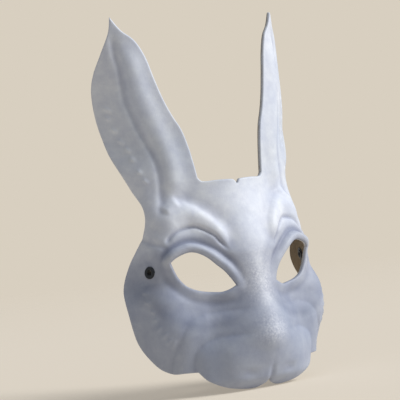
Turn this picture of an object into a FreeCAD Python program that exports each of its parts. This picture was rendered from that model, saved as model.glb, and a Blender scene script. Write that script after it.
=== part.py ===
import FreeCAD, Part
import math
import os

# A rabbit half mask of one moulded leather sheet with two riveted eyelets. Millimetres,
# +Z up, the face looks along -Y, +X is to the wearer's left.
# The sheet is set out by two coordinates: a, the distance round the mask from its centre
# plane, and z, the height. wrap() bends the sheet round the head, relief() moulds it.

os.makedirs("parts", exist_ok=True)

Vec = FreeCAD.Vector
Vec2 = FreeCAD.Base.Vector2d

LEATHER = 3.0             # thickness of the sheet
GRID = 4.0                # spacing of the surface poles on the sheet
HALF_SHEET = 124.0        # half width of the sheet that carries poles
SHEET_FOOT = -92.0        # lowest and highest row of poles
SHEET_TOP = 216.0

# Degrees the sheet turns back on each side of the centre line, by height
CENTRE_FOLD = ((-78, 25), (-60, 23.5), (-10, 8.8), (20, 21.4), (50, 22.8), (75, 25), (110, 27), (200, 30))
FOLD_REACH = 20.0         # distance over which most of the centre fold happens
TEMPLE_ANGLE = 74.0       # degrees the sheet faces away from the front at the temple
TURN_FROM = 53.0          # distance from the centre where the temple turn begins
TURN_TO = ((-10, 87.5), (20, 82))   # and where it ends, by height
EAR_FROM = 60.0           # heights between which the temple turn dies out
EAR_TO = 110.0
# The outer half of each ear is turned back along a line: height, distance of that line
# from the centre; height, degrees
EAR_LINE = ((60, 57), (85, 57), (107, 63.5), (129, 72), (150, 76), (190, 81))
EAR_TURN = ((82, 0), (112, 20), (150, 20), (175, 18), (200, 12))

# Profile of the centre line from lip to forehead: height, position along Y
PROFILE = ((-78, -12), (-60, -10.7), (-35, -10.4), (0, -4.1), (25, -12.8), (50, -4.7), (75, 0.3), (130, 0.3))

# Edge of the sheet from the forehead crease round to the lip, on one side of the centre.
# Each run is smooth and meets the next in a corner.
EDGE_RUNS = (
    ((0, 73.4), (3, 75.0), (15, 75.6), (26, 75.6), (29.5, 78.5)),
    ((29.5, 78.5), (30.7, 86.5), (33.5, 101), (37.2, 114), (42.8, 125), (48, 137.5), (52.7, 152.5),
     (57.5, 169), (64, 181.5), (73, 189.8), (80.2, 200)),
    ((80.2, 200), (82.5, 188.5), (90, 174), (97.5, 159.5), (100.5, 146), (99, 125.5), (93.7, 105),
     (86.2, 88.5), (79.8, 73.5), (73.8, 60.5), (76, 48), (84.5, 37.5), (93, 29.5), (99.8, 21), (103.3, 8),
     (104, -10), (99, -33.5), (83, -51), (70.5, -58.3), (60, -58.8), (51, -59)),
    ((51, -59), (43.8, -66.8), (30, -73), (12, -75.5), (3, -73), (0, -69.8)),
)

# Edge of the eye opening: upper run from the inner to the outer corner, lower run back
EYE_UPPER = ((17, -1.2), (19.4, 5), (24, 11.3), (30, 16.2), (35.5, 20.5), (40.5, 23.5), (45, 25.4),
             (49.5, 26), (54.5, 25), (59.5, 23), (62.8, 20.3))
EYE_LOWER = ((62.8, 20.3), (61, 16.5), (57, 9.5), (53.5, 5), (50, 1.2), (45.5, -1.2), (39.5, -2.8),
             (32.5, -4.2), (26.5, -5), (21.5, -4.2), (17, -1.2))

RIM_UPPER = 3.4           # height of the rolled band above the eye
RIM_LOWER = 2.4           # height of the lip below it

# Nose: height of the ridge and half width of its foot, by height on the mask
NOSE = ((-78, 0), (-60, 3), (-48, 8), (-36, 13.5), (-22, 16), (-8, 14.5), (0, 13.3), (6, 11), (13, 6.9),
        (20, 3.1), (27, 1.3), (42, 0.9), (62, 0))
NOSE_HALF = ((-50, 44), (0, 37), (40, 34))

# Moulded strokes: path on the sheet, height, width to the left and right of travel,
# share of the length over which each end fades
STROKES = (
    # brow lobe over the eye
    (((68, 40), (61, 46), (53, 51), (43, 53), (34.5, 49), (28, 43), (23.5, 36.5), (20.5, 28)),
     3.6, 8.0, 8.0, 0.25, 0.2),
    # furrow above the brow lobe
    (((50, 68), (45, 65.5), (37, 61), (30, 55.5), (24, 49), (20, 43), (17.8, 38), (17.5, 32), (18.5, 22)),
     -2.2, 3.4, 7.0, 0.2, 0.25),
    # hollow of the lid between rim and brow
    (((66, 31), (57, 37), (50, 40), (42, 40.5), (34, 37), (28, 30)), -1.4, 4.0, 4.0, 0.2, 0.2),
    # parting below the nose
    (((0, -47), (0, -58), (0, -100)), -2.6, 3.4, 3.4, 0.15, 0.0),
    # fold along the ear, its roll on the inner side and the roll's foot
    (((80, 194), (79.5, 174.5), (77, 163), (76, 148.5), (75, 138.5), (72, 129), (68.5, 118.5), (63.5, 107),
      (59, 95.5), (57, 85), (57, 72.5), (59.5, 61), (64, 47)), -1.6, 3.4, 5.0, 0.12, 0.15),
    (((70, 172), (68, 158), (65, 142), (60, 126), (54, 107), (50, 92), (48.5, 78), (48, 64)),
     3.0, 8.0, 6.0, 0.3, 0.12),
    (((60, 55), (53, 59.5), (45.5, 63)), 1.6, 3.6, 4.5, 0.25, 0.3),
    # step where the ear meets the cheek
    (((86, 40), (79.5, 37), (74, 34.5), (68.5, 32.5), (63, 32)), -1.3, 3.4, 4.0, 0.1, 0.2),
)

# Shelves: the sheet stands higher on the left of each path, by a height gained over a width
SHELVES = (
    # roll round the snout
    (((75, -100), (70, -62), (67.5, -48), (63.5, -38), (59, -28.5), (53, -22), (45, -19), (35, -18),
      (-20, -18)),
     1.8, 9.0),
    # muzzle lobe standing on it
    (((53, -100), (53, -62), (53.5, -51), (51, -43.5), (45, -38.5), (37, -36), (26, -35), (-20, -35)),
     2.8, 12.0),
)

# Moulded bosses: centre on the sheet, radii, height
BOSSES = (
    (0, -38, 12, 9, 2.6),       # tip of the nose
    (0, -56, 36, 22, 7.0),      # muzzle
    (27, -57, 22, 16, 1.6),     # muzzle lobe
    (0, 58, 26, 16, 1.8),       # forehead
    (78, -18, 22, 26, 2.0),     # cheek
    (52, -14, 26, 6, -0.6),     # hollow below the eye
)

LIP_START = -64.0         # the lower edge curls back below this height
LIP_CURL = 4.5

EYELET_A = 78.4           # eyelet position on the sheet
EYELET_Z = 14.5
FLAT_INNER = 8.5          # the leather is flat this far from the eyelet, eased in by the outer radius
FLAT_OUTER = 14.0
BORE_R = 2.0              # eyelet: inner and outer radius of the barrel, the flange, the clenched rim
BARREL_R = 2.4
FLANGE_R = 4.4
FLANGE_T = 0.9
CLENCH_R = 3.5
CLENCH_T = 0.7
HOLE_R = 2.45             # hole in the leather
WASHER_R = 4.9            # washer behind the leather
WASHER_T = 0.6


def ease(t):
    t = min(max(t, 0.0), 1.0)
    return t * t * (3 - 2 * t)


def bell(distance, width):
    return math.exp(-(distance / width) ** 2)


def hermite(points, x):
    """A smooth value at x through a short table, flat at its ends."""
    if x <= points[0][0]:
        return points[0][1]
    if x >= points[-1][0]:
        return points[-1][1]
    slopes = [0.0]
    for before, here, after in zip(points, points[1:], points[2:]):
        left = (here[1] - before[1]) / (here[0] - before[0])
        right = (after[1] - here[1]) / (after[0] - here[0])
        slopes.append(2 * left * right / (left + right) if left * right > 0 else 0.0)
    slopes.append(0.0)
    for i, (low, high) in enumerate(zip(points, points[1:])):
        if x <= high[0]:
            span = high[0] - low[0]
            t = (x - low[0]) / span
            rise = high[1] - low[1]
            bend = t * (1 - t) * ((slopes[i] * span - rise) * (1 - t) + (rise - slopes[i + 1] * span) * t)
            return low[1] + t * rise + bend
    return points[-1][1]


def turn(a, z):
    """Angle through which the sheet has turned from the front at distance a."""
    angle = hermite(CENTRE_FOLD, z) * math.tanh(a / FOLD_REACH)
    temple = (TEMPLE_ANGLE - hermite(CENTRE_FOLD, z)) * ease((EAR_TO - z) / (EAR_TO - EAR_FROM))
    angle += temple * ease((a - TURN_FROM) / (hermite(TURN_TO, z) - TURN_FROM))
    angle += hermite(EAR_TURN, z) * ease((a - hermite(EAR_LINE, z) + 10) / 18)
    return math.radians(angle)


def wrap(a, z):
    """Point of the bent sheet before moulding."""
    side = 1 if a >= 0 else -1
    steps = 24
    step = abs(a) / steps
    angles = [turn((i + 0.5) * step, z) for i in range(steps)]
    x = side * step * sum(math.cos(angle) for angle in angles)
    y = step * sum(math.sin(angle) for angle in angles)
    return Vec(x, y + hermite(PROFILE, z), z)


def outward(a, z):
    """Unit normal of the bent sheet, pointing away from the head."""
    across = wrap(a + 0.5, z) - wrap(a - 0.5, z)
    up = wrap(a, z + 0.5) - wrap(a, z - 0.5)
    return across.cross(up).normalize()


def spline_points(points, parts=6):
    """Points along a smooth curve through the given ones."""
    ends = [(2 * points[0][0] - points[1][0], 2 * points[0][1] - points[1][1])]
    tail = [(2 * points[-1][0] - points[-2][0], 2 * points[-1][1] - points[-2][1])]
    rows = ends + list(points) + tail
    curve = []
    for p, q, r, s in zip(rows, rows[1:], rows[2:], rows[3:]):
        for i in range(parts):
            t = i / parts
            curve.append(tuple(
                0.5 * (2 * q[k] + (r[k] - p[k]) * t + (2 * p[k] - 5 * q[k] + 4 * r[k] - s[k]) * t * t
                       + (3 * q[k] - p[k] - 3 * r[k] + s[k]) * t ** 3)
                for k in (0, 1)))
    return curve + [points[-1]]


def nearest(a, z, curve):
    """Signed distance to a curve, positive on the left of travel, and the share travelled."""
    best = None
    for i, (p, q) in enumerate(zip(curve, curve[1:])):
        da = q[0] - p[0]
        dz = q[1] - p[1]
        t = ((a - p[0]) * da + (z - p[1]) * dz) / (da * da + dz * dz)
        t = min(max(t, 0.0), 1.0)
        ea = a - p[0] - t * da
        ez = z - p[1] - t * dz
        gap = math.hypot(ea, ez)
        if best is None or gap < best[0]:
            best = (gap, math.copysign(gap, da * ez - dz * ea), (i + t) / (len(curve) - 1))
    return best[1], best[2]


EYE_CURVE = spline_points(EYE_UPPER) + spline_points(EYE_LOWER)[1:]
STROKE_CURVES = [(spline_points(path, 3), *rest) for path, *rest in STROKES]
SHELF_CURVES = [(spline_points(path, 3), *rest) for path, *rest in SHELVES]


def eye_rim(a, z):
    """Rolled band above the eye opening, thinner lip below it, both dying out at the nose."""
    gap = abs(nearest(a, z, EYE_CURVE)[0])
    corner_line = EYE_UPPER[0][1] + (a - EYE_UPPER[0][0]) * 0.47
    upper = ease((z - corner_line + 5) / 10)
    band = RIM_UPPER * (1 - ease((gap - 3.6) / 4.2)) * (0.62 + 0.38 * ease(gap / 2.6))
    lip = RIM_LOWER * (1 - ease((gap - 0.8) / 7)) * (0.75 + 0.25 * ease(gap / 1.2))
    return (upper * band + (1 - upper) * lip) * ease((a - 9) / 14)


def nose(a, z):
    return hermite(NOSE, z) * (1 + math.cos(math.pi * min(a / hermite(NOSE_HALF, z), 1))) / 2


def stroke(a, z, curve, height, left, right, fade_in, fade_out):
    gap, share = nearest(a, z, curve)
    fade = ease(share / fade_in) if fade_in else 1.0
    fade *= ease((1 - share) / fade_out) if fade_out else 1.0
    return height * fade * bell(gap, left if gap > 0 else right)


def shelf(a, z, curve, height, width):
    """Ground raised on the left of a curve, dying out towards the nose."""
    t = min(max(nearest(a, z, curve)[0] / width, 0.0), 1.0)
    return height * t * (2 - t) * ease((a - 4) / 26)


def relief(a, z):
    """Height moulded into the sheet."""
    a = abs(a)
    height = eye_rim(a, z) + nose(a, z)
    height += sum(stroke(a, z, *row) for row in STROKE_CURVES)
    height += sum(shelf(a, z, *row) for row in SHELF_CURVES)
    for ca, cz, ra, rz, rise in BOSSES:
        height += rise * math.exp(-((a - ca) / ra) ** 2 - ((z - cz) / rz) ** 2)
    return height - LIP_CURL * ease((LIP_START - z) / 12) ** 2


def corrected(rows):
    """Poles of a uniform cubic surface that passes through the given grid of points."""
    def along(line):
        inner = [p - (before - p * 2 + after) * (1 / 6) for before, p, after in zip(line, line[1:], line[2:])]
        return [line[0]] + inner + [line[-1]]

    lines = [along(row) for row in rows]
    columns = [along(list(column)) for column in zip(*lines)]
    return [list(row) for row in zip(*columns)]


def surface(rows, stations_a, stations_z):
    """Cubic surface over the grid whose parameters are the sheet coordinates."""
    def knots(stations):
        first = stations[0] - 2 * GRID
        return [first + i * GRID for i in range(len(stations) + 4)]

    knots_a = knots(stations_a)
    knots_z = knots(stations_z)
    sheet = Part.BSplineSurface()
    sheet.buildFromPolesMultsKnots(corrected(rows), [1] * len(knots_a), [1] * len(knots_z),
                                   knots_a, knots_z, False, False, 3, 3)
    sheet.segment(stations_a[1], stations_a[-2], stations_z[1], stations_z[-2])
    return sheet


def smoothed(heights):
    """The relief as the back of the sheet shows it: softened, never thinner than the leather allows."""
    count_a = len(heights)
    count_z = len(heights[0])
    result = []
    for i in range(count_a):
        row = []
        for j in range(count_z):
            near = [heights[k][m] for k in range(max(i - 1, 0), min(i + 2, count_a))
                    for m in range(max(j - 1, 0), min(j + 2, count_z))]
            row.append(min(sum(near) / len(near), heights[i][j] + 0.5))
        result.append(row)
    return result


def flatten(point, centre, normal, depth):
    """Draw a point onto the plane behind the eyelet centre, fully so close to the eyelet."""
    offset = point - centre
    off_plane = offset.dot(normal) + depth
    radius = (offset - normal * offset.dot(normal)).Length
    share = 1 - ease((radius - FLAT_INNER) / (FLAT_OUTER - FLAT_INNER))
    return point - normal * (off_plane * share)


def eyelet_seat(side):
    """Centre on the front of the leather and outward direction of one eyelet."""
    normal = outward(side * EYELET_A, EYELET_Z)
    return wrap(side * EYELET_A, EYELET_Z) + normal * relief(EYELET_A, EYELET_Z), normal


def moulded_surfaces():
    """Front and back surface of the moulded sheet."""
    count_a = round(2 * HALF_SHEET / GRID) + 1
    count_z = round((SHEET_TOP - SHEET_FOOT) / GRID) + 1
    stations_a = [-HALF_SHEET + i * GRID for i in range(count_a)]
    stations_z = [SHEET_FOOT + j * GRID for j in range(count_z)]
    heights = [[relief(a, z) for z in stations_z] for a in stations_a]
    inner = smoothed(heights)
    seats = {side: eyelet_seat(side) for side in (-1, 1)}
    front = []
    back = []
    for i, a in enumerate(stations_a):
        centre, normal = seats[1 if a > 0 else -1]
        front_row = []
        back_row = []
        for j, z in enumerate(stations_z):
            point = wrap(a, z)
            away = outward(a, z)
            front_row.append(flatten(point + away * heights[i][j], centre, normal, 0.0))
            back_row.append(flatten(point + away * (inner[i][j] - LEATHER), centre, normal, LEATHER))
        front.append(front_row)
        back.append(back_row)
    return surface(front, stations_a, stations_z), surface(back, stations_a, stations_z)


def curve_on_sheet(points):
    curve = Part.Geom2d.BSplineCurve2d()
    curve.interpolate([Vec2(a, z) for a, z in points])
    return curve


def reverse(run):
    return tuple(reversed(run))


def mirror(run):
    return tuple((-a, z) for a, z in run)


def trimmed_face(sheet, wires):
    """Part of a surface inside the first wire and outside the others."""
    face = Part.Face(sheet, wires[0])
    face.cutHoles(wires[1:])
    face.validate()
    return face


def trimmed_sheet(front, back, loops):
    """Solid between the two surfaces inside the first loop and outside the others."""
    front_wires = []
    back_wires = []
    sides = []
    for loop in loops:
        curves = [curve_on_sheet(run) for run in loop]
        front_edges = [curve.toShape(front) for curve in curves]
        back_edges = [curve.toShape(back) for curve in curves]
        sides += [Part.makeRuledSurface(f, b) for f, b in zip(front_edges, back_edges)]
        front_wires.append(Part.Wire(front_edges))
        back_wires.append(Part.Wire(back_edges))
    faces = [trimmed_face(front, front_wires), trimmed_face(back, back_wires)] + sides
    shell = Part.makeShell(faces)
    shell.sewShape(0.01)
    solid = Part.makeSolid(shell)
    if solid.Volume < 0:
        solid.reverse()
    return solid


def revolved(profile):
    """Solid of revolution about Z from (radius, height) corners."""
    corners = [Vec(r, 0, h) for r, h in profile]
    face = Part.Face(Part.makePolygon(corners + corners[:1]))
    return face.revolve(Vec(0, 0, 0), Vec(0, 0, 1), 360)


def eyelet():
    """Flanged eyelet standing on z = 0, the front of the leather, clenched over the washer."""
    back = -LEATHER - WASHER_T
    body = revolved(((BORE_R, back - CLENCH_T), (CLENCH_R, back - CLENCH_T), (CLENCH_R, back),
                     (BARREL_R, back), (BARREL_R, 0), (FLANGE_R, 0),
                     (FLANGE_R, FLANGE_T), (BORE_R, FLANGE_T)))
    rims = [edge for edge in body.Edges if edge.Closed and edge.Vertexes[0].Z in (FLANGE_T, back - CLENCH_T)]
    return body.makeFillet(0.35, rims)


def washer():
    ring = Part.makeCylinder(WASHER_R, WASHER_T, Vec(0, 0, -LEATHER - WASHER_T))
    return ring.cut(Part.makeCylinder(BARREL_R + 0.05, WASHER_T, Vec(0, 0, -LEATHER - WASHER_T)))


def seated(shape, centre, normal):
    placed = shape.copy()
    placed.Placement = FreeCAD.Placement(centre, FreeCAD.Rotation(Vec(0, 0, 1), normal))
    return placed


def build():
    front, back = moulded_surfaces()
    edge = [mirror(run) for run in EDGE_RUNS] + [reverse(run) for run in reversed(EDGE_RUNS)]
    eye = [EYE_UPPER, EYE_LOWER]
    other_eye = [mirror(reverse(run)) for run in reversed(eye)]
    shell = trimmed_sheet(front, back, [edge, eye, other_eye])
    drill = Part.makeCylinder(HOLE_R, 4 * LEATHER, Vec(0, 0, -3 * LEATHER))
    for name, side in (("right", -1), ("left", 1)):
        centre, normal = eyelet_seat(side)
        shell = shell.cut(seated(drill, centre, normal))
        seated(eyelet(), centre, normal).exportStep("parts/" + name + "_eyelet.step")
        seated(washer(), centre, normal).exportStep("parts/" + name + "_eyelet_washer.step")
    shell.exportStep("parts/leather_shell.step")


build()
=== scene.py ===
import math

import bpy
import numpy as np
from mathutils import Matrix, Vector
from mathutils.geometry import delaunay_2d_cdt

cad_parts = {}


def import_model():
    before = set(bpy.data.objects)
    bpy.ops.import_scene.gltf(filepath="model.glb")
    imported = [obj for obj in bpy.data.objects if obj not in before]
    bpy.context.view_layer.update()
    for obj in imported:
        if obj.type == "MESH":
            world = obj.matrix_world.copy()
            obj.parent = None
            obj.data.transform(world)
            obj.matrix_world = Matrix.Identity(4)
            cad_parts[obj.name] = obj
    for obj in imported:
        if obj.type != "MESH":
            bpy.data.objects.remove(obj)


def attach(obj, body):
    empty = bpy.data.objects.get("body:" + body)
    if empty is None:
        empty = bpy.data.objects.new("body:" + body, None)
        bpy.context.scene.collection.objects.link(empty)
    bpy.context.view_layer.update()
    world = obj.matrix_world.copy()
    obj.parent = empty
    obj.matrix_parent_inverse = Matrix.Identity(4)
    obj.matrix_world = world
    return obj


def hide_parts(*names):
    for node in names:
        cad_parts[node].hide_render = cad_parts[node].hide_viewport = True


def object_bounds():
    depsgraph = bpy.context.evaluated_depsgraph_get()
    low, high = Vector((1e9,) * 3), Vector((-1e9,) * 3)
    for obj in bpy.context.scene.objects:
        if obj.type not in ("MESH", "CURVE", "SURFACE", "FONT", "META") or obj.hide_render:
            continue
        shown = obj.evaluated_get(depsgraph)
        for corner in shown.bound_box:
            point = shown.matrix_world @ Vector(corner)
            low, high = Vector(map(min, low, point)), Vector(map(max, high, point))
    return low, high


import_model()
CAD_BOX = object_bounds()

# A rabbit half mask: one moulded sheet of white painted leather and two black eyelets.
# The sheet is set out in millimetres by (a, z): a is the distance round the mask from its
# centre plane, z the height. wrap() bends it round the head, relief() moulds it.
# The stage, light and camera are in metres.

MM = 0.001
LEATHER = 3.0           # thickness of the sheet
MESH_STEP = 1.1         # side of the mesh triangles


# ---------------------------------------------------------------- small maths
def ease(t):
    t = np.clip(t, 0.0, 1.0)
    return t * t * (3 - 2 * t)


def bell(distance, width):
    return np.exp(-(distance / width) ** 2)


def table(points, x):
    """Smooth monotone value at x through a short table, flat at both ends."""
    px, py = (np.array(c, float) for c in zip(*points))
    step = np.diff(px)
    rise = np.diff(py) / step
    slope = np.zeros(len(px))
    left, right = rise[:-1], rise[1:]
    same = left * right > 0
    slope[1:-1][same] = 2 * left[same] * right[same] / (left[same] + right[same])
    x = np.clip(x, px[0], px[-1])
    i = np.clip(np.searchsorted(px, x, side="right") - 1, 0, len(px) - 2)
    t = (x - px[i]) / step[i]
    delta = py[i + 1] - py[i]
    bend = (slope[i] * step[i] - delta) * (1 - t) + (delta - slope[i + 1] * step[i]) * t
    return py[i] + t * delta + t * (1 - t) * bend


def curve_through(points, parts=8):
    """Points along a smooth curve through the given ones."""
    p = np.array(points, float)
    p = np.vstack([2 * p[0] - p[1], p, 2 * p[-1] - p[-2]])
    t = (np.arange(parts) / parts)[:, None]
    rows = []
    for a, b, c, d in zip(p, p[1:], p[2:], p[3:]):
        rows.append(0.5 * (2 * b + (c - a) * t + (2 * a - 5 * b + 4 * c - d) * t ** 2
                           + (3 * b - a - 3 * c + d) * t ** 3))
    return np.vstack(rows + [p[-2:-1]])


def nearest(a, z, curve):
    """Signed distance to a curve, positive on the left of travel, and the share travelled."""
    best = np.full(a.shape, 1e9)
    signed = np.zeros(a.shape)
    share = np.zeros(a.shape)
    legs = np.hypot(*np.diff(curve, axis=0).T)
    run = np.concatenate([[0], np.cumsum(legs)]) / legs.sum()
    for i, (p, q) in enumerate(zip(curve, curve[1:])):
        da, dz = q - p
        t = np.clip(((a - p[0]) * da + (z - p[1]) * dz) / (da * da + dz * dz), 0, 1)
        ea = a - p[0] - t * da
        ez = z - p[1] - t * dz
        gap = np.hypot(ea, ez)
        closer = gap < best
        best = np.where(closer, gap, best)
        signed = np.where(closer, np.where(da * ez - dz * ea >= 0, gap, -gap), signed)
        share = np.where(closer, run[i] + t * (run[i + 1] - run[i]), share)
    return signed, share


# ---------------------------------------------------------------- the bent sheet
# angle in degrees that each half of the sheet turns back from the centre, by height
FOLD = ((-78, 25), (-60, 23.5), (-10, 8.8), (20, 21.4), (50, 22.8), (75, 25), (110, 27), (200, 30))
FOLD_REACH = 20.0       # distance over which that turn is taken up
TEMPLE_ANGLE = 74.0     # whole turn at the temple, which starts at TURN_FROM and ends at TURN_TO
TURN_FROM = 53.0
TURN_TO = ((-10, 87.5), (20, 82))
EAR_FROM, EAR_TO = 60.0, 110.0      # heights over which the temple's turn dies out
# how far back the centre line lies, by height
PROFILE = ((-78, -12), (-60, -10.7), (-35, -10.4), (0, -4.1), (25, -12.8), (50, -4.7), (75, 0.3), (130, 0.3))
# where the outer part of each ear turns back, and by how many degrees
EAR_LINE = ((60, 57), (85, 57), (107, 63.5), (129, 72), (150, 76), (190, 81))
EAR_TURN = ((82, 0), (112, 20), (150, 20), (175, 18), (200, 12))
EAR_LEAD, EAR_WIDTH = 10.0, 18.0
# how far the nose stands forward, and half its width
NOSE = ((-78, 0), (-60, 3), (-48, 8), (-36, 13.5), (-22, 16), (-8, 14.5), (0, 13.3), (6, 11), (13, 6.9),
        (20, 3.1), (27, 1.3), (42, 0.9), (62, 0))
NOSE_HALF = ((-50, 44), (0, 37), (40, 34))


def wrap(a, z):
    """Points of the bent sheet with its nose, as an array of rows x, y, z."""
    steps = 24
    s = np.abs(a)[:, None] * (np.arange(steps) + 0.5) / steps
    ear = s - table(EAR_LINE, z)[:, None] + EAR_LEAD
    temple = (TEMPLE_ANGLE - table(FOLD, z)) * ease((EAR_TO - z) / (EAR_TO - EAR_FROM))
    angle = table(FOLD, z)[:, None] * np.tanh(s / FOLD_REACH)
    angle += temple[:, None] * ease((s - TURN_FROM) / (table(TURN_TO, z)[:, None] - TURN_FROM))
    angle += table(EAR_TURN, z)[:, None] * ease(ear / EAR_WIDTH)
    angle = np.radians(angle)
    x = a * np.cos(angle).mean(1)
    y = np.abs(a) * np.sin(angle).mean(1) + table(PROFILE, z)
    from_ridge = np.minimum(np.abs(a) / table(NOSE_HALF, z), 1)
    y -= table(NOSE, z) * (1 + np.cos(math.pi * from_ridge)) / 2
    return np.stack([x, y, z], 1)


def outward(a, z):
    """Unit normals of the bent sheet, on its front."""
    across = wrap(a + 0.5, z) - wrap(a - 0.5, z)
    up = wrap(a, z + 0.5) - wrap(a, z - 0.5)
    normal = np.cross(across, up)
    return normal / np.linalg.norm(normal, axis=1)[:, None]


# ---------------------------------------------------------------- outline of the sheet
# top edge with half its notch, inner edge of the ear, outer edge down to the cheek, muzzle
EDGE_RUNS = (
    ((0, 71.6), (1.6, 74.0), (4, 75.2), (15, 75.6), (26, 75.6), (29.5, 78.5)),
    ((29.5, 78.5), (30.7, 86.5), (33.5, 101), (37.2, 114), (42.8, 125), (48, 137.5), (52.7, 152.5),
     (57.5, 169), (64, 181.5), (73, 189.8), (80.2, 200)),
    ((80.2, 200), (82.5, 188.5), (90, 174), (97.5, 159.5), (100.5, 146), (99, 125.5), (93.7, 105),
     (86.2, 88.5), (79.8, 73.5), (73.8, 60.5), (76, 48), (84.5, 37.5), (93, 29.5), (99.8, 21), (103.3, 8),
     (104, -10), (99, -33.5), (83, -51), (70.5, -58.3), (60, -58.8), (51, -59)),
    ((51, -59), (43.8, -66.8), (30, -73), (12, -75.5), (3, -73), (0, -69.8)),
)
EYE_UPPER = ((17.3, -0.7), (20, 5), (24, 10.7), (29.8, 15.8), (35.3, 20.3), (40.3, 23.4), (45, 25.4),
             (49.5, 26), (54.5, 25), (59.5, 23), (62.8, 20.3))
EYE_LOWER = ((62.8, 20.3), (61, 16.5), (57.2, 9.5), (53.7, 5), (50, 1.4), (45.2, -1.1), (39.5, -2.8),
             (32.5, -4), (26.5, -4.5), (21.5, -3.2), (17.3, -0.7))
EYELET_A, EYELET_Z = 78.4, 14.5
EYELET_HOLE_A, EYELET_HOLE_Z = 2.45, 2.2785     # the hole's radii, under the flange
HOLE_POINTS = 28


def even(points, step):
    """Points spaced evenly along a polyline, ends kept."""
    length = np.concatenate([[0], np.cumsum(np.hypot(*np.diff(points, axis=0).T))])
    count = max(2, round(length[-1] / step) + 1)
    at = np.linspace(0, length[-1], count)
    return np.stack([np.interp(at, length, points[:, k]) for k in (0, 1)], 1)


def closed_loop(runs):
    return np.vstack([even(curve_through(run, 12), MESH_STEP)[:-1] for run in runs])


def mirrored(loop):
    return (loop * (-1, 1))[::-1]


def eyelet_loop():
    turns = np.arange(HOLE_POINTS) * 2 * math.pi / HOLE_POINTS
    return np.stack([EYELET_A + EYELET_HOLE_A * np.cos(turns), EYELET_Z + EYELET_HOLE_Z * np.sin(turns)], 1)


HALF_EDGE = closed_loop(EDGE_RUNS)
OUTLINE = np.vstack([HALF_EDGE, [EDGE_RUNS[-1][-1]], mirrored(HALF_EDGE[1:])])
EYE = closed_loop((EYE_UPPER, EYE_LOWER))
HOLES = [EYE, mirrored(EYE), eyelet_loop(), mirrored(eyelet_loop())]


def inside(points, loop):
    """Which points lie inside a closed loop."""
    x, y = points.T
    result = np.zeros(len(points), bool)
    for (px, py), (qx, qy) in zip(loop, np.roll(loop, -1, axis=0)):
        crosses = (py > y) != (qy > y)
        if py != qy:
            result ^= crosses & (x < (qx - px) * (y - py) / (qy - py) + px)
    return result


def in_leather(points):
    keep = inside(points, OUTLINE)
    for hole in HOLES:
        keep &= ~inside(points, hole)
    return keep


def edge_distance(points):
    """Distance of each sheet point to the nearest edge of the leather."""
    best = np.full(len(points), 1e9)
    for loop in [OUTLINE] + HOLES:
        gap, _ = nearest(points[:, 0], points[:, 1], np.vstack([loop, loop[:1]]))
        best = np.minimum(best, np.abs(gap))
    return best


# ---------------------------------------------------------------- moulding
EYE_RING = np.vstack([EYE, EYE[:1]])
RIM_UPPER, RIM_LOWER = 3.4, 2.4     # height of the rolled rim above and below the eye
EYE_SLOPE = 0.47                    # rise of the line from the inner to the outer corner of the eye
LIP_START, LIP_CURL = -64, 4.5      # height from which the muzzle's lower edge curls back, and how far

# path, height, widths of the left and right flank, share of the path that fades at each end
STROKES = (
    # brow lobe over the eye
    (((68, 40), (61, 46), (53, 51), (43, 53), (34.5, 49), (28, 43), (23.5, 36.5), (20.5, 28)),
     3.4, 9.0, 8.0, (0.25, 0.2)),
    # furrow above it
    (((50, 68), (45, 65.5), (37, 61), (30, 55.5), (24, 49), (20, 43), (17.8, 38), (17.5, 32), (18.5, 22)),
     -1.7, 3.4, 7.0, (0.2, 0.25)),
    # incised eyelid line
    (((66, 32.5), (58.5, 39), (50.5, 42.5), (41.5, 43.5), (35, 40.7), (28.7, 35.7), (26, 32), (22.5, 27.5),
      (19, 22)), -1.5, 1.4, 1.4, (0.12, 0.2)),
    # parting below the nose
    (((0, -51), (0, -58), (0, -100)), -1.4, 2.0, 2.0, (0.4, 0.0)),
    # fold along the ear
    (((80, 194), (79.5, 174.5), (77, 163), (76, 148.5), (75, 138.5), (72, 129), (68.5, 118.5), (63.5, 107),
      (59, 95.5), (57, 85), (57, 72.5), (59.5, 61), (64, 47)), -1.5, 2.6, 4.0, (0.12, 0.15)),
    # roll on the inner side of the fold
    (((73, 186), (70, 172), (67, 158), (64, 142), (59, 126), (53, 107), (49, 92), (48, 78), (48, 64)),
     2.6, 10.0, 8.0, (0.2, 0.12)),
    # foot of that roll
    (((60, 55), (53, 59.5), (45.5, 63)), 1.6, 3.0, 4.5, (0.25, 0.3)),
    # step where the ear meets the cheek
    (((86, 40), (79.5, 37), (74, 34.5), (68.5, 32.5), (63, 32)), -0.9, 2.4, 4.0, (0.1, 0.2)),
)
# path, height, width over which the ground rises beside it
SHELVES = (
    # upper roll of the snout
    (((75, -100), (70, -62), (67.5, -48), (63.5, -38), (59, -28.5), (53, -22), (45, -19), (35, -18),
      (-20, -18)), 1.8, 9.0),
    # muzzle lobe standing on it
    (((53, -100), (53, -62), (53.5, -51), (51, -43.5), (45, -38.5), (37, -36), (26, -35), (-20, -35)),
     2.8, 12.0),
)
# centre a and z, radius along a and z, height
BOSSES = (
    (0, -56, 36, 22, 7.0),      # muzzle
    (27, -57, 22, 16, 1.6),     # its lobe
    (15, -63, 5, 4, -0.8),      # dimple beside the parting
    (0, -38, 12, 9, 2.6),       # tip of the nose
    (0, 58, 26, 16, 1.8),       # forehead
    (78, -18, 22, 26, 2.0),     # cheek
    (52, -14, 26, 6, -0.6),     # hollow below the eye
)
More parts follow.
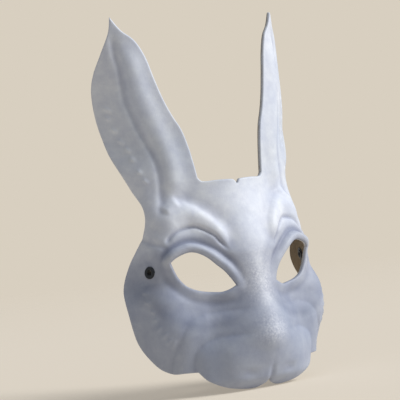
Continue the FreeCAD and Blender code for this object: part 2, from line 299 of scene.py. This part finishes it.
# short wrinkles on the cheek and on the ear, and what stroke() makes of each
WHISKER_LINES = (
    ((87, 7.2), (77, 6.8)), ((86.5, 0.3), (77, -0.5)), ((85.5, -6.5), (78, -7)),
    ((81.5, -13), (76.5, -13.5)),
    ((80, -19.3), (75.3, -18)), ((76.8, -33.8), (69.8, -27)), ((73.5, -38.2), (67.5, -31.5)),
    ((69.3, -41), (65, -32.5)), ((79.5, -27.5), (73.5, -22.5)),
)
EAR_LINES = (
    ((81, 106), (75, 101)), ((77.7, 98.6), (72.5, 94)), ((73.7, 88.6), (68.8, 84.4)),
    ((70.2, 82.1), (65, 77)),
    ((94.2, 136.6), (85, 131)), ((92.7, 130.1), (88, 125)), ((86, 113), (79, 107)), ((90, 121), (83, 116)),
)
WHISKER_STROKE = (0.65, 1.1, 1.5, (0.45, 0.45))
EAR_STROKE = (0.8, 1.1, 1.5, (0.45, 0.45))


def boss(a, z, centre_a, centre_z, radius_a, radius_z, height):
    return height * np.exp(-((a - centre_a) / radius_a) ** 2 - ((z - centre_z) / radius_z) ** 2)


def fade(share, start, end):
    """Strength along a stroke, rising over the first share and falling over the last."""
    result = ease(share / start)
    return result * (ease((1 - share) / end) if end else 1.0)


def stroke(a, z, path, height, left, right, ends):
    """A raised or sunk line whose flanks fall off over different widths."""
    gap, share = nearest(a, z, curve_through(path))
    return height * fade(share, *ends) * bell(gap, np.where(gap > 0, left, right))


def shelf(a, z, path, height, width):
    """Ground raised on the left of a path over the given width, dying out towards the nose."""
    t = np.clip(nearest(a, z, curve_through(path))[0] / width, 0, 1)
    return height * t * (2 - t) * ease((a - 4) / 26)


def eye_rim(a, z):
    """Rolled rim round the eye: a heavy band above it, a softer lip below, and a dip outside both."""
    gap = np.abs(nearest(a, z, EYE_RING)[0])
    corner_a, corner_z = EYE_UPPER[0]
    upper = ease((z - (corner_z + (a - corner_a) * EYE_SLOPE) + 5) / 10)
    band = (1 - ease((gap - 3.6) / 4.2)) * (0.62 + 0.38 * ease(gap / 2.6))
    lip = (1 - ease((gap - 0.8) / 7.0)) * (0.75 + 0.25 * ease(gap / 1.2))
    rim = RIM_UPPER * upper * band + RIM_LOWER * (1 - upper) * lip
    dip = (0.3 + 0.9 * upper) * bell(gap - 8.6, 2.4)
    return (rim - dip) * ease((a - 9) / 14)


def relief(a, z):
    """Height in millimetres moulded into the front of the sheet."""
    a = np.abs(a)
    height = eye_rim(a, z)
    for row in STROKES:
        height += stroke(a, z, *row)
    for row in SHELVES:
        height += shelf(a, z, *row)
    for row in BOSSES:
        height += boss(a, z, *row)
    for line in WHISKER_LINES:
        height += stroke(a, z, line, *WHISKER_STROKE)
    for line in EAR_LINES:
        height += stroke(a, z, line, *EAR_STROKE)
    return height - LIP_CURL * ease((LIP_START - z) / 12) ** 2


def softened(a, z, height):
    """The relief as it shows on the back: blurred, and never so high that the leather gets thin."""
    step, reach = 2.0, 4
    ga = np.arange(-130, 130.1, step)
    gz = np.arange(-86, 208.1, step)
    grid_a, grid_z = np.meshgrid(ga, gz, indexing="ij")
    grid = relief(grid_a.ravel(), grid_z.ravel()).reshape(grid_a.shape)
    kernel = bell(np.arange(-reach, reach + 1) * step, 4.0)
    kernel /= kernel.sum()

    def blurred(row):
        return np.convolve(np.pad(row, reach, mode="edge"), kernel, "valid")

    for axis in (0, 1):
        grid = np.apply_along_axis(blurred, axis, grid)
    i = (a - ga[0]) / step
    j = (z - gz[0]) / step
    i0, j0 = i.astype(int), j.astype(int)
    u, v = i - i0, j - j0
    low = grid[i0, j0] * (1 - v) + grid[i0, j0 + 1] * v
    high = grid[i0 + 1, j0] * (1 - v) + grid[i0 + 1, j0 + 1] * v
    return np.minimum(low * (1 - u) + high * u, height + 0.5)


# ---------------------------------------------------------------- the leather shell
ROUND_FRONT, ROUND_BACK = 1.0, 0.6      # rounding of the cut edge
FLAT_INNER, FLAT_OUTER = 6.5, 13.0      # ground round each eyelet: quite flat, and free again
EDGE_RINGS = (0.25, 0.65, 1.2)          # rows of vertices that carry the rounding
WALL_ROWS = 2                           # rows of vertices across the cut edge
SHADE_DEPTH = 1.6                       # height over the blurred relief that counts as fully proud, for the painted shade in hollows


def loop_ring(loop, inset):
    """The loop moved into the leather by inset."""
    tangent = np.roll(loop, -1, axis=0) - np.roll(loop, 1, axis=0)
    tangent /= np.linalg.norm(tangent, axis=1)[:, None]
    side = np.stack([-tangent[:, 1], tangent[:, 0]], 1)
    area = np.sum(loop[:, 0] * np.roll(loop[:, 1], -1) - np.roll(loop[:, 0], -1) * loop[:, 1])
    return loop + side * (1 if area > 0 else -1) * (1 if loop is OUTLINE else -1) * inset


def sheet_points():
    """Vertices of the sheet on (a, z), edges of the leather first, and those edges as index pairs."""
    loops = [OUTLINE] + HOLES
    edges = []
    start = 0
    for loop in loops:
        count = len(loop)
        edges += [(start + i, start + (i + 1) % count) for i in range(count)]
        start += count
    rings = np.vstack([loop_ring(loop, inset) for loop in loops for inset in EDGE_RINGS])
    rings = rings[in_leather(rings)]
    rings = rings[edge_distance(rings) > 0.2]
    columns = np.arange(-124, 124, MESH_STEP)
    rows = np.arange(-80, 204, MESH_STEP * 0.866)
    ga, gz = np.meshgrid(columns, rows, indexing="ij")
    ga = ga + (np.arange(len(rows)) % 2) * MESH_STEP / 2
    grid = np.stack([ga.ravel(), gz.ravel()], 1)
    grid = grid[in_leather(grid)]
    grid = grid[edge_distance(grid) > EDGE_RINGS[-1] + 0.6 * MESH_STEP]
    return np.vstack(loops + [rings, grid]), edges


def triangulate():
    points, edges = sheet_points()
    out, _, faces, _, _, _ = delaunay_2d_cdt([Vector(p) for p in points], edges, [], 0, 1e-6)
    out = np.array([tuple(v) for v in out])
    faces = np.array([f for f in faces if len(f) == 3])
    return out, faces[in_leather(out[faces].mean(1))]


def seat(side):
    """Where the eyelet on one side sits, and the direction it faces."""
    a, z = np.array([side * EYELET_A]), np.array([EYELET_Z])
    normal = outward(a, z)[0]
    return wrap(a, z)[0] + normal * relief(a, z)[0], normal


def flattened(points, a, depth):
    """Draw points near an eyelet onto the plane its flange sits on."""
    result = points.copy()
    for side in (-1, 1):
        centre, normal = seat(side)
        offset = points - centre
        off_plane = offset @ normal
        radius = np.linalg.norm(offset - off_plane[:, None] * normal, axis=1)
        share = (1 - ease((radius - FLAT_INNER) / (FLAT_OUTER - FLAT_INNER))) * (a * side > 0)
        result -= ((off_plane + depth) * share)[:, None] * normal
    return result


def rounding(gap, radius):
    """How far a rounded edge drops at a distance from the edge."""
    inner = np.clip(radius - gap, 0, radius)
    return radius - np.sqrt(radius ** 2 - inner ** 2)


def sheet_sides(a, z, height):
    """Points of the front and back of the leather, rounded at its edges."""
    base, away = wrap(a, z), outward(a, z)
    gap = edge_distance(np.stack([a, z], 1))
    gap[gap < 1e-6] = 0
    front = flattened(base + away * height[:, None], a, 0.0)
    back = flattened(base + away * (softened(a, z, height) - LEATHER)[:, None], a, LEATHER)
    across = front - back
    across /= np.linalg.norm(across, axis=1)[:, None]
    return (front - across * rounding(gap, ROUND_FRONT)[:, None],
            back + across * rounding(gap, ROUND_BACK)[:, None])


def edge_walls(faces, front, back):
    """The cut edge: the sheet points on it, the extra vertices across it and its quads."""
    directed = {(tri[i], tri[j]) for tri in faces for i, j in ((0, 1), (1, 2), (2, 0))}
    border = sorted((i, j) for i, j in directed if (j, i) not in directed)
    walls = sorted({i for edge in border for i in edge})
    shares = [row / (WALL_ROWS + 1) for row in range(1, WALL_ROWS + 1)]
    extra = np.vstack([front[walls] * (1 - t) + back[walls] * t for t in shares])
    count = len(front)
    column = {}
    for k, i in enumerate(walls):
        column[i] = [i] + [2 * count + row * len(walls) + k for row in range(WALL_ROWS)] + [count + i]
    quads = []
    for i, j in border:
        for row in range(WALL_ROWS + 1):
            quads.append((column[j][row], column[i][row], column[i][row + 1], column[j][row + 1]))
    return walls, extra, quads


def build_shell(materials):
    flat, faces = triangulate()
    a, z = flat.T
    height = relief(a, z)
    front, back = sheet_sides(a, z, height)
    walls, extra, quads = edge_walls(faces, front, back)
    verts = np.vstack([front, back, extra]) * MM
    polygons = [tuple(f) for f in faces] + [tuple(f[::-1] + len(flat)) for f in faces] + quads
    mesh = bpy.data.meshes.new("leather_sheet")
    mesh.from_pydata(verts.tolist(), [], polygons)
    for material in materials:
        mesh.materials.append(material)
    slots = np.repeat(np.arange(3, dtype=np.int32), [len(faces), len(faces), len(quads)])
    mesh.polygons.foreach_set("material_index", slots)
    mesh.polygons.foreach_set("use_smooth", np.ones(len(polygons), bool))

    # how hollow or proud each place is, for painted shade that gathers in hollows and folds and is gone on
    # ridges
    proud = np.clip((height - softened(a, z, height + 9)) / SHADE_DEPTH, -1, 1)
    layer = mesh.attributes.new("proud", "FLOAT", "POINT")
    values = np.concatenate([proud, proud, np.tile(proud[walls], WALL_ROWS)])
    layer.data.foreach_set("value", values.astype(np.float32))
    mesh.update()
    mesh.validate()
    piece = bpy.data.objects.new("moulded_leather", mesh)
    bpy.context.scene.collection.objects.link(piece)
    return piece


# ---------------------------------------------------------------- materials
class Nodes:
    """A short way to write a node tree."""

    def __init__(self, name):
        self.material = bpy.data.materials.new(name)
        self.material.use_nodes = True
        self.tree = self.material.node_tree
        self.tree.nodes.clear()
        self.place = self.add("ShaderNodeTexCoord").outputs["Object"]

    def add(self, kind, inputs=None, **settings):
        node = self.tree.nodes.new(kind)
        for key, value in settings.items():
            setattr(node, key, value)
        for key, value in (inputs or {}).items():
            if isinstance(value, bpy.types.NodeSocket):
                self.tree.links.new(value, node.inputs[key])
            else:
                node.inputs[key].default_value = value
        return node

    def scaled(self, size_mm):
        """Object coordinates that count in steps of size_mm."""
        scale = [1 / (size_mm * MM)] * 3
        return self.add("ShaderNodeMapping", {"Vector": self.place, "Scale": scale}).outputs[0]

    def noise(self, size_mm, detail, rough=0.5):
        """Noise whose features are about size_mm across."""
        inputs = {"Vector": self.scaled(size_mm), "Scale": 1.0, "Detail": detail, "Roughness": rough}
        return self.add("ShaderNodeTexNoise", inputs).outputs["Fac"]

    def cells(self, size_mm):
        """Distance to the borders of cells about size_mm across."""
        inputs = {"Vector": self.scaled(size_mm), "Scale": 1.0}
        return self.add("ShaderNodeTexVoronoi", inputs, feature="DISTANCE_TO_EDGE").outputs["Distance"]

    def span(self, value, start, end, first=0.0, last=1.0):
        """A value from start to end, mapped to run from first to last."""
        return self.add("ShaderNodeMapRange", {0: value, 1: start, 2: end, 3: first, 4: last}).outputs[0]

    def ramp(self, value, *stops):
        """Colour ramp, whose stops are a position and a colour or a grey."""
        node = self.add("ShaderNodeValToRGB", {"Fac": value})
        elements = node.color_ramp.elements
        while len(elements) < len(stops):
            elements.new(0.5)
        for element, (position, colour) in zip(elements, stops):
            element.position = position
            element.color = colour if isinstance(colour, tuple) else (colour, colour, colour, 1)
        return node.outputs["Color"]

    def mix(self, factor, one, two, blend="MIX"):
        node = self.add("ShaderNodeMix", data_type="RGBA", blend_type=blend)
        for index, value in ((0, factor), (6, one), (7, two)):
            if isinstance(value, bpy.types.NodeSocket):
                self.tree.links.new(value, node.inputs[index])
            else:
                node.inputs[index].default_value = value
        return node.outputs[2]

    def maths(self, operation, *values):
        return self.add("ShaderNodeMath", dict(enumerate(values)), operation=operation).outputs[0]

    def attribute(self, name):
        return self.add("ShaderNodeAttribute", attribute_name=name).outputs["Fac"]

    def bump(self, height, distance_mm, strength, after=None):
        inputs = {"Height": height, "Strength": strength, "Distance": distance_mm * MM}
        if after is not None:
            inputs["Normal"] = after
        return self.add("ShaderNodeBump", inputs).outputs[0]

    def finish(self, **inputs):
        """The material, from the Principled shader's inputs."""
        shader = self.add("ShaderNodeBsdfPrincipled", {k.replace("_", " "): v for k, v in inputs.items()})
        self.add("ShaderNodeOutputMaterial", {"Surface": shader.outputs[0]})
        return self.material


PAINT_TONES = ((0.35, (0.80, 0.85, 0.93, 1)), (0.65, (0.88, 0.91, 0.945, 1)))
BRUSH_TONES = ((0.3, (0.84, 0.84, 0.88, 1)), (0.7, 1.0))
# painted shade by height, lilac grey: deep on the muzzle, gone at the brow, thin on the ears
HEIGHT_SHADE_FROM, HEIGHT_SHADE_TO = -0.05, 0.225
HEIGHT_SHADE_TONES = ((0.17, (0.50, 0.53, 0.60, 1)), (0.46, 1.0), (0.62, (0.86, 0.88, 0.90, 1)), (0.85, 1.0))
# painted shade in hollows and folds, by how proud the place is
HOLLOW_SHADE_TONES = ((0.1, (0.58, 0.59, 0.66, 1)), (0.5, (0.93, 0.93, 0.95, 1)), (0.8, 1.0))
# painted shade round the eyes, inside an ellipse in metres
SOCKET_X, SOCKET_HALF_X = 0.040, 0.042
SOCKET_Z, SOCKET_HALF_Z = 0.004, 0.036
EYE_SHADE_TONES = ((0.75, (0.74, 0.75, 0.79, 1)), (1.2, 1.0))
# white flecks on the nose, partly frosted paint and partly painted highlight: from x to x, and its strength
# by height
FROSTED_HIGHLIGHT = (0.90, 0.92, 0.97, 1)
FROSTED_HIGHLIGHT_INNER, FROSTED_HIGHLIGHT_OUTER = 0.003, 0.017
FROSTED_HIGHLIGHT_FROM, FROSTED_HIGHLIGHT_TO = -0.06, 0.06
FROSTED_HIGHLIGHT_STRENGTH = ((0.10, 0.0), (0.20, 0.8), (0.34, 0.2), (0.52, 0.75), (0.70, 0.35), (0.85, 0.0))
FROSTED_HIGHLIGHT_FLECKS = ((0.40, 0.15), (0.68, 0.85))


def paint_with_painted_light(n):
    """Uneven white paint, with painted shade on the lower face, in hollows and round the eyes, and a painted
    highlight on the nose.
    """
    x, _, z = n.add("ShaderNodeSeparateXYZ", {0: n.place}).outputs
    across = n.maths("ABSOLUTE", x)
    height = n.maths("ADD", z, n.maths("MULTIPLY", n.noise(38, 3), 0.05))
    proud = n.maths("MULTIPLY_ADD", n.attribute("proud"), 0.5, 0.5)
    aside = n.maths("POWER", n.maths("DIVIDE", n.maths("SUBTRACT", across, SOCKET_X), SOCKET_HALF_X), 2.0)
    above = n.maths("POWER", n.maths("DIVIDE", n.maths("SUBTRACT", z, SOCKET_Z), SOCKET_HALF_Z), 2.0)
    layers = (
        n.ramp(n.noise(9, 6, 0.65), *BRUSH_TONES),
        # painted shade by height, darkest on the muzzle
        n.ramp(n.span(height, HEIGHT_SHADE_FROM, HEIGHT_SHADE_TO), *HEIGHT_SHADE_TONES),
        # painted shade in hollows and folds
        n.ramp(proud, *HOLLOW_SHADE_TONES),
        # painted shade round the eyes
        n.ramp(n.maths("ADD", aside, above), *EYE_SHADE_TONES),
    )
    colour = n.ramp(n.noise(36, 4), *PAINT_TONES)
    for layer in layers:
        colour = n.mix(1.0, colour, layer, "MULTIPLY")
    # painted highlight on the nose ridge and tip, in white flecks of frosted paint
    middle = n.span(across, FROSTED_HIGHLIGHT_INNER, FROSTED_HIGHLIGHT_OUTER, 1.0, 0.0)
    ridge = n.ramp(n.span(z, FROSTED_HIGHLIGHT_FROM, FROSTED_HIGHLIGHT_TO), *FROSTED_HIGHLIGHT_STRENGTH)
    flecks = n.ramp(n.noise(1.6, 4, 0.7), *FROSTED_HIGHLIGHT_FLECKS)
    return n.mix(n.maths("MULTIPLY", n.maths("MULTIPLY", middle, ridge), flecks), colour, FROSTED_HIGHLIGHT)


def white_paint():
    n = Nodes("white painted leather")
    normal = n.bump(n.cells(1.3), 0.05, 0.5)
    normal = n.bump(n.noise(0.8, 4, 0.6), 0.10, 0.6, normal)
    normal = n.bump(n.noise(6, 3), 0.35, 0.5, normal)
    rough = n.ramp(n.noise(1.1, 2, 0.7), (0.56, 0.55), (0.72, 0.35))
    return n.finish(Base_Color=paint_with_painted_light(n), Roughness=rough, Normal=normal, Specular_IOR_Level=0.35)


def raw_flesh():
    n = Nodes("raw leather back")
    patches = n.ramp(n.noise(30, 4, 0.6), (0.3, (0.23, 0.17, 0.11, 1)), (0.7, (0.36, 0.28, 0.19, 1)))
    fibres = n.ramp(n.noise(1.6, 5, 0.75), (0.3, 0.72), (0.7, 1.05))
    colour = n.mix(1.0, patches, fibres, "MULTIPLY")
    normal = n.bump(n.noise(1.2, 6, 0.8), 0.35, 0.8)
    return n.finish(Base_Color=colour, Roughness=0.92, Normal=normal, Specular_IOR_Level=0.2)


def cut_edge():
    n = Nodes("painted cut edge")
    worn = n.ramp(n.noise(5, 5, 0.7), (0.45, (0.64, 0.66, 0.69, 1)), (0.72, (0.46, 0.42, 0.38, 1)))
    normal = n.bump(n.noise(0.9, 4, 0.7), 0.2, 0.6)
    return n.finish(Base_Color=worn, Roughness=0.6, Normal=normal)


def black_enamel():
    n = Nodes("black enamel")
    tint = n.ramp(n.noise(3, 4, 0.6), (0.35, (0.018, 0.021, 0.026, 1)), (0.7, (0.035, 0.040, 0.048, 1)))
    rough = n.ramp(n.noise(1.2, 4, 0.7), (0.3, 0.35), (0.7, 0.55))
    normal = n.bump(n.noise(0.7, 3), 0.03, 0.4)
    return n.finish(Base_Color=tint, Roughness=rough, Normal=normal, Metallic=0.0)


shell = build_shell([white_paint(), raw_flesh(), cut_edge()])
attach(shell, "root")
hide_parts("leather_shell")
enamel = black_enamel()
for node in ("right_eyelet", "right_eyelet_washer", "left_eyelet", "left_eyelet_washer"):
    for slot in bpy.data.objects[node].material_slots:
        slot.material = enamel


# ---------------------------------------------------------------- stage, light, camera
BACKDROP = (0.687, 0.624, 0.527, 1)
FLOOR_COLOUR = (0.54, 0.485, 0.405, 1)
FLOOR_GLOW = (0.287, 0.26, 0.222, 1)
FLOOR_RADIUS, FLOOR_RINGS, FLOOR_AROUND = 2.6, 40, 96
FLOOR_Y, FLOOR_GAP = 0.02, 0.0006
AMBIENT = (0.215, 0.232, 0.262, 1)
KEY_FROM, KEY_STRENGTH, KEY_SPREAD = (0.645, -0.504, 0.574), 3.1, 32
LENS_MM, SENSOR_MM = 153, 36
CAMERA_DISTANCE = 1.232
CAMERA_AZIMUTH, CAMERA_ELEVATION, CAMERA_ROLL = (math.radians(turn) for turn in (-35, 2.5, -6.2))
LOOK_RIGHT, LOOK_UP = -0.034568, 0.059136


def floor_material():
    """Paper that is lit in the middle and fades out towards the backdrop."""
    n = Nodes("pale floor")
    far = n.add("ShaderNodeVectorMath", {0: n.place}, operation="LENGTH").outputs["Value"]
    fade_out = n.ramp(n.maths("DIVIDE", far, FLOOR_RADIUS), (0.25, 0.0), (0.9, 1.0))
    paper = n.add("ShaderNodeBsdfDiffuse", {"Color": FLOOR_COLOUR})
    glow = n.add("ShaderNodeEmission", {"Color": FLOOR_GLOW})
    lit = n.add("ShaderNodeAddShader", {0: paper.outputs[0], 1: glow.outputs[0]})
    clear = n.add("ShaderNodeBsdfTransparent")
    shader = n.add("ShaderNodeMixShader", {0: fade_out, 1: lit.outputs[0], 2: clear.outputs[0]})
    n.add("ShaderNodeOutputMaterial", {"Surface": shader.outputs[0]})
    return n.material


def stage_floor():
    """Round pale floor under the mask."""
    verts = [(0, 0, 0)]
    for ring in range(1, FLOOR_RINGS + 1):
        radius = FLOOR_RADIUS * ring / FLOOR_RINGS
        for k in range(FLOOR_AROUND):
            turn = 2 * math.pi * k / FLOOR_AROUND
            verts.append((radius * math.cos(turn), radius * math.sin(turn), 0))
    faces = [(0, 1 + k, 1 + (k + 1) % FLOOR_AROUND) for k in range(FLOOR_AROUND)]
    for ring in range(FLOOR_RINGS - 1):
        start = 1 + ring * FLOOR_AROUND
        for k in range(FLOOR_AROUND):
            p, q = start + k, start + (k + 1) % FLOOR_AROUND
            faces.append((p, p + FLOOR_AROUND, q + FLOOR_AROUND, q))
    mesh = bpy.data.meshes.new("floor")
    mesh.from_pydata(verts, [], faces)
    mesh.materials.append(floor_material())
    floor = bpy.data.objects.new("floor", mesh)
    floor.location = (0, FLOOR_Y, CAD_BOX[0][2] - FLOOR_GAP)
    bpy.context.scene.collection.objects.link(floor)


def world():
    """Backdrop colour for the camera, cooler light for everything else."""
    studio = bpy.data.worlds.new("studio")
    bpy.context.scene.world = studio
    studio.use_nodes = True
    tree = studio.node_tree
    tree.nodes.clear()
    seen = tree.nodes.new("ShaderNodeBackground")
    seen.inputs["Color"].default_value = BACKDROP
    light = tree.nodes.new("ShaderNodeBackground")
    light.inputs["Color"].default_value = AMBIENT
    path = tree.nodes.new("ShaderNodeLightPath")
    mix = tree.nodes.new("ShaderNodeMixShader")
    out = tree.nodes.new("ShaderNodeOutputWorld")
    tree.links.new(path.outputs["Is Camera Ray"], mix.inputs[0])
    tree.links.new(light.outputs[0], mix.inputs[1])
    tree.links.new(seen.outputs[0], mix.inputs[2])
    tree.links.new(mix.outputs[0], out.inputs[0])


def key_light():
    data = bpy.data.lights.new("key", "SUN")
    data.energy = KEY_STRENGTH
    data.angle = math.radians(KEY_SPREAD)
    lamp = bpy.data.objects.new("key", data)
    lamp.rotation_euler = Vector(KEY_FROM).to_track_quat("Z", "Y").to_euler()
    bpy.context.scene.collection.objects.link(lamp)


def camera():
    """Long lens from the wearer's right; the picture's axes are rolled a little."""
    cosine, sine = math.cos(CAMERA_AZIMUTH), math.sin(CAMERA_AZIMUTH)
    flat = math.cos(CAMERA_ELEVATION)
    back = Vector((sine * flat, -cosine * flat, math.sin(CAMERA_ELEVATION)))
    level = Vector((cosine, sine, 0))
    upright = back.cross(level)
    right = math.cos(CAMERA_ROLL) * level + math.sin(CAMERA_ROLL) * upright
    up = -math.sin(CAMERA_ROLL) * level + math.cos(CAMERA_ROLL) * upright
    # the camera looks at a point beside and above the origin, so no shift is needed
    place = back * CAMERA_DISTANCE
    aim = (place - right * LOOK_RIGHT - up * LOOK_UP).normalized()
    right = (right - aim * right.dot(aim)).normalized()
    up = aim.cross(right)
    data = bpy.data.cameras.new("camera")
    data.sensor_width = SENSOR_MM
    data.lens = LENS_MM
    data.clip_start = 0.05
    data.clip_end = 50
    view = bpy.data.objects.new("camera", data)
    axes = Matrix((right, up, aim)).transposed().to_4x4()
    axes.translation = place
    view.matrix_world = axes
    bpy.context.scene.collection.objects.link(view)
    bpy.context.scene.camera = view


stage_floor()
world()
key_light()
camera()
bpy.context.scene.view_settings.view_transform = "Standard"
